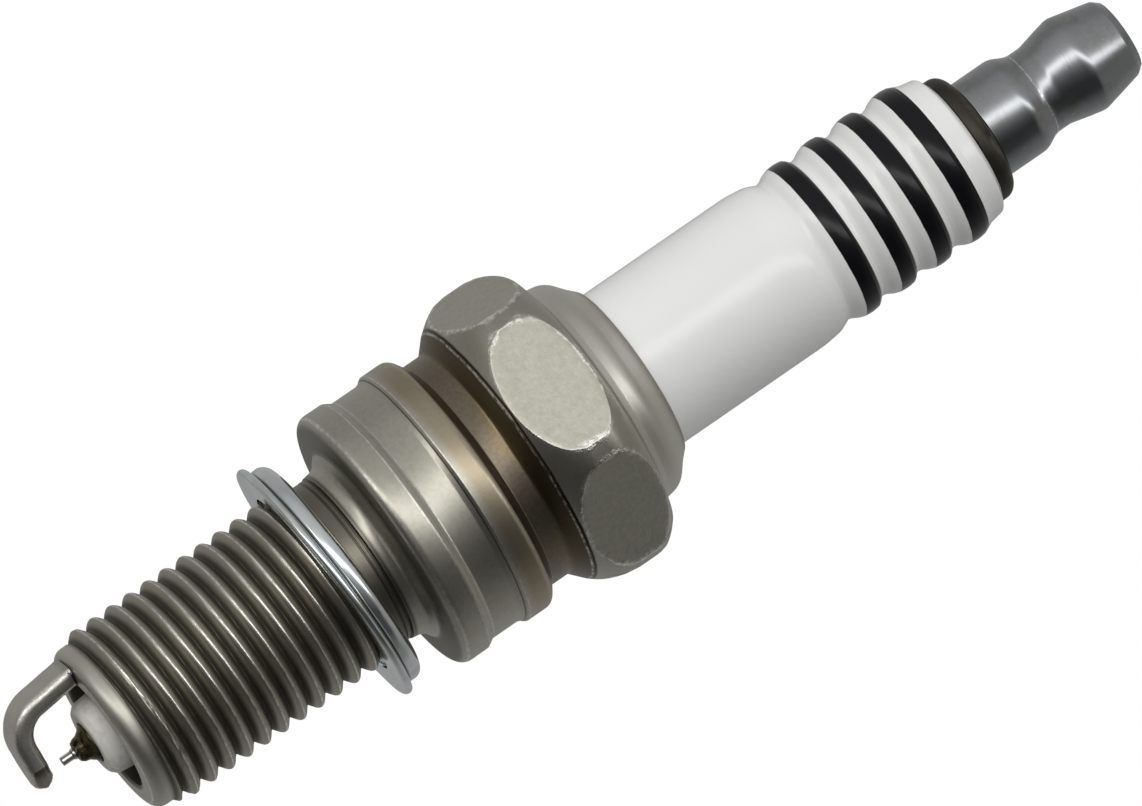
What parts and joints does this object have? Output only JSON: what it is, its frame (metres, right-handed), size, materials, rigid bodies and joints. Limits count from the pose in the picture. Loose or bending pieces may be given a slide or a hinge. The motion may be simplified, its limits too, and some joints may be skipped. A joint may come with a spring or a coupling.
{
  "type": "spark plug",
  "caption": "Slim resistor spark plug with a fine-wire firing tip, bent side electrode, crimped hexagon shell, loose crush gasket, ribbed insulator and screw-on terminal nut.",
  "frame": {"origin": "on the plug's axis, in the plane of the shell's seat face, which stops against the gasket on the cylinder head", "axes": "+Z along the plug's axis to the terminal; -Y is the outward normal of one flat of the hexagon; the side electrode stands at 217.2 degrees from +X"},
  "size_m": [0.0194, 0.0174, 0.0766],
  "materials": {
    "nickel_plate": "satin nickel plate on steel, heat-tinted at the buckling groove",
    "electrode_alloy": "satin nickel alloy",
    "platinum": "bright",
    "glazed_alumina": "glossy white glaze with glossy black bands on the ribs, bare cream nose",
    "dark_alloy": "dark oxidised nickel alloy",
    "copper": "plain copper, hidden",
    "iridium": "bright fine wire",
    "seal_glass": "fired copper-glass, opaque, hidden",
    "resistor_glass": "fired carbon-glass, opaque, hidden",
    "dark_steel": "dull dark oxidised steel",
    "bright_steel": "bright turned steel",
    "soft_steel": "plain soft steel, hidden",
    "ring_steel": "plain wire, hidden",
    "talc": "pressed powder, hidden",
    "zinc_plate": "bright zinc plate with a faint passivation tint"
  },
  "bodies": {
    "plug": {"shell": "nickel_plate", "ground_electrode": "electrode_alloy", "ground_electrode_pad": "platinum", "insulator": "glazed_alumina", "centre_electrode": "dark_alloy", "centre_electrode_core": "copper", "firing_tip": "iridium", "lower_glass_seal": "seal_glass", "resistor": "resistor_glass", "upper_glass_seal": "seal_glass", "terminal_stud": "dark_steel", "inner_seat_gasket": "soft_steel", "lower_packing_ring": "ring_steel", "talc_filling": "talc", "upper_packing_ring": "ring_steel"},
    "gasket": {"seat_gasket": "zinc_plate"},
    "nut": {"terminal_nut": "bright_steel"}
  },
  "joints": [
    {"name": "gasket_slide", "type": "slide", "parent": "plug", "child": "gasket", "axis": [0, 0, 1], "range_m": [0, 0.0016]},
    {"name": "nut_lift", "type": "slide", "parent": "plug", "child": "nut", "axis": [0, 0, 1], "range_m": [0, 0.0085]}
  ]
}
